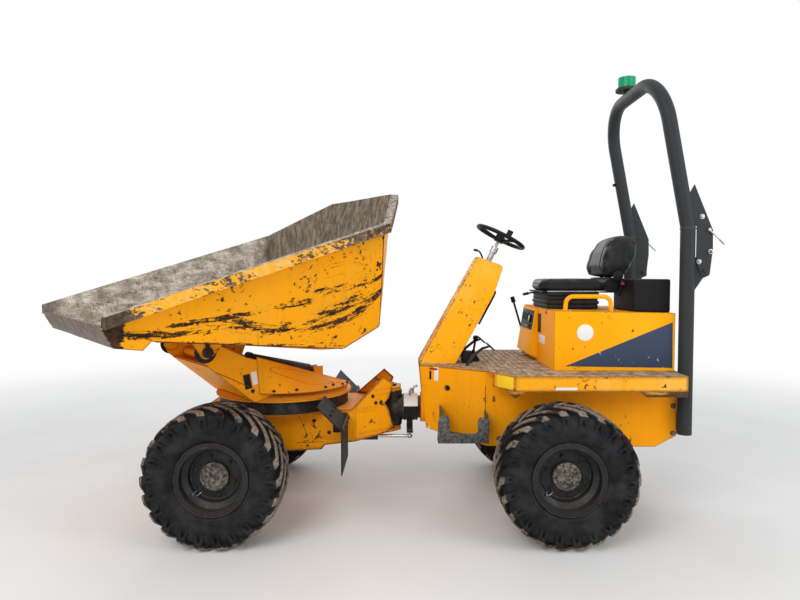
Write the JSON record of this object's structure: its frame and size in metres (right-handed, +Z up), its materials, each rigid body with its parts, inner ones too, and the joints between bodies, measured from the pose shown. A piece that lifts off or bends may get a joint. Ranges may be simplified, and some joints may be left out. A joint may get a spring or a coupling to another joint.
{
  "type": "site dumper",
  "caption": "Articulated site dumper with a swivelling tipping skip ahead, driver's seat over the engine, steering console and a folding roll hoop behind.",
  "frame": {"origin": "on the ground under the vertical pin between the chassis halves", "axes": "+X forwards, +Y to the machine's left, +Z up; the longest extent is along X and the shortest along Y"},
  "size_m": [4.3926, 2.3879, 3.046],
  "materials": {
    "yellow_paint": "worn gloss",
    "charcoal_paint": "satin",
    "rim_black": "satin, rusted edge",
    "tyre": "dusty",
    "flap_rubber": "matt",
    "seat_vinyl": "worn vinyl",
    "black_plastic": "matt",
    "beacon_green": "gloss",
    "rod_chrome": "polished",
    "greasy_steel": "greasy",
    "bare_steel": "worn"
  },
  "bodies": {
    "rear_frame": {"rear_chassis": "yellow_paint", "rear_deck": "yellow_paint", "step_left": "bare_steel", "step_right": "bare_steel", "rear_axle": "greasy_steel", "engine_block": "greasy_steel", "steering_console": "black_plastic", "steering_column": "black_plastic", "pedal_left": "bare_steel", "pedal_right": "bare_steel", "control_lever": "black_plastic", "rops_posts": "charcoal_paint"},
    "centre_pivot": {"centre_pivot": "greasy_steel"},
    "front_frame": {"front_chassis": "yellow_paint", "front_axle": "greasy_steel", "mudguard_left": "yellow_paint", "mudguard_right": "yellow_paint", "mud_flap_left": "flap_rubber", "mud_flap_right": "flap_rubber", "slew_ring_lower": "greasy_steel"},
    "swivel": {"swivel_frame": "yellow_paint", "slew_ring_upper": "greasy_steel"},
    "skip": {"skip": "yellow_paint"},
    "tip_barrel": {"tip_ram_barrel": "greasy_steel"},
    "tip_rod": {"tip_ram_rod": "rod_chrome"},
    "steer_barrel": {"steering_ram_barrel": "greasy_steel"},
    "steer_rod": {"steering_ram_rod": "rod_chrome"},
    "helm": {"steering_wheel": "black_plastic"},
    "cover": {"engine_cover": "yellow_paint", "seat_suspension": "black_plastic", "seat_cushion": "seat_vinyl", "seat_backrest": "seat_vinyl", "tool_box": "black_plastic"},
    "hoop": {"rops_hoop": "charcoal_paint", "beacon_lens": "beacon_green"},
    "wheel_front_left": {"tyre_front_left": "tyre", "rim_front_left": "rim_black"},
    "wheel_front_right": {"tyre_front_right": "tyre", "rim_front_right": "rim_black"},
    "wheel_rear_left": {"tyre_rear_left": "tyre", "rim_rear_left": "rim_black"},
    "wheel_rear_right": {"tyre_rear_right": "tyre", "rim_rear_right": "rim_black"}
  },
  "joints": [
    {"name": "oscillation", "type": "hinge", "parent": "rear_frame", "child": "centre_pivot", "pos_m": [-0.2, 0, 0.67], "axis": [1, 0, 0], "range_deg": [-12, 12]},
    {"name": "steering", "type": "hinge", "parent": "centre_pivot", "child": "front_frame", "pos_m": [0, 0, 0.67], "axis": [0, 0, 1], "range_deg": [-35, 35]},
    {"name": "slew", "type": "hinge", "parent": "front_frame", "child": "swivel", "pos_m": [0.771, 0, 0.772], "axis": [0, 0, 1], "range_deg": [-129.5, 50.5]},
    {"name": "tip", "type": "hinge", "parent": "swivel", "child": "skip", "pos_m": [1.31422, 0.4478, 1.151], "axis": [-0.6361, 0.7716, 0], "range_deg": [0, 55]},
    {"name": "tip_barrel_swing", "type": "hinge", "parent": "swivel", "child": "tip_barrel", "pos_m": [0.57809, -0.15902, 0.902], "axis": [0.6361, -0.7716, 0], "range_deg": [0, 18.17]},
    {"name": "tip_rod_slide", "type": "slide", "parent": "tip_barrel", "child": "tip_rod", "axis": [0.7482, 0.6167, 0.2446], "range_m": [0, 0.16994]},
    {"name": "steer_barrel_swing", "type": "hinge", "parent": "front_frame", "child": "steer_barrel", "pos_m": [0.4, 0.1, 0.485], "axis": [0, 0, 1], "range_deg": [-8.06, 8.06]},
    {"name": "steer_rod_slide", "type": "slide", "parent": "steer_barrel", "child": "steer_rod", "axis": [-1, 0.0095, 0], "range_m": [-0.06169, 0.06169]},
    {"name": "helm_turn", "type": "hinge", "parent": "rear_frame", "child": "helm", "pos_m": [-0.773, 0, 1.888], "axis": [-0.4524, 0, 0.8918], "continuous": true},
    {"name": "cover_lift", "type": "hinge", "parent": "rear_frame", "child": "cover", "pos_m": [-1.042, 0, 1.004], "axis": [0, 1, 0], "range_deg": [0, 22]},
    {"name": "hoop_fold", "type": "hinge", "parent": "rear_frame", "child": "hoop", "pos_m": [-1.988, 0, 1.64], "axis": [0, -1, 0], "range_deg": [0, 95]},
    {"name": "wheel_front_left_roll", "type": "hinge", "parent": "front_frame", "child": "wheel_front_left", "pos_m": [1.045, 0.73, 0.422], "axis": [0, 1, 0], "continuous": true},
    {"name": "wheel_front_right_roll", "type": "hinge", "parent": "front_frame", "child": "wheel_front_right", "pos_m": [1.045, -0.73, 0.422], "axis": [0, 1, 0], "continuous": true},
    {"name": "wheel_rear_left_roll", "type": "hinge", "parent": "rear_frame", "child": "wheel_rear_left", "pos_m": [-1.045, 0.73, 0.422], "axis": [0, 1, 0], "continuous": true},
    {"name": "wheel_rear_right_roll", "type": "hinge", "parent": "rear_frame", "child": "wheel_rear_right", "pos_m": [-1.045, -0.73, 0.422], "axis": [0, 1, 0], "continuous": true}
  ],
  "couplings": [
    {"joint": "tip_barrel_swing", "follows": "tip", "ratio": 0.33025},
    {"joint": "tip_rod_slide", "follows": "tip", "m_per_rad": 0.17693},
    {"joint": "steer_barrel_swing", "follows": "steering", "ratio": -0.22993},
    {"joint": "steer_rod_slide", "follows": "steering", "m_per_rad": -0.10083}
  ]
}
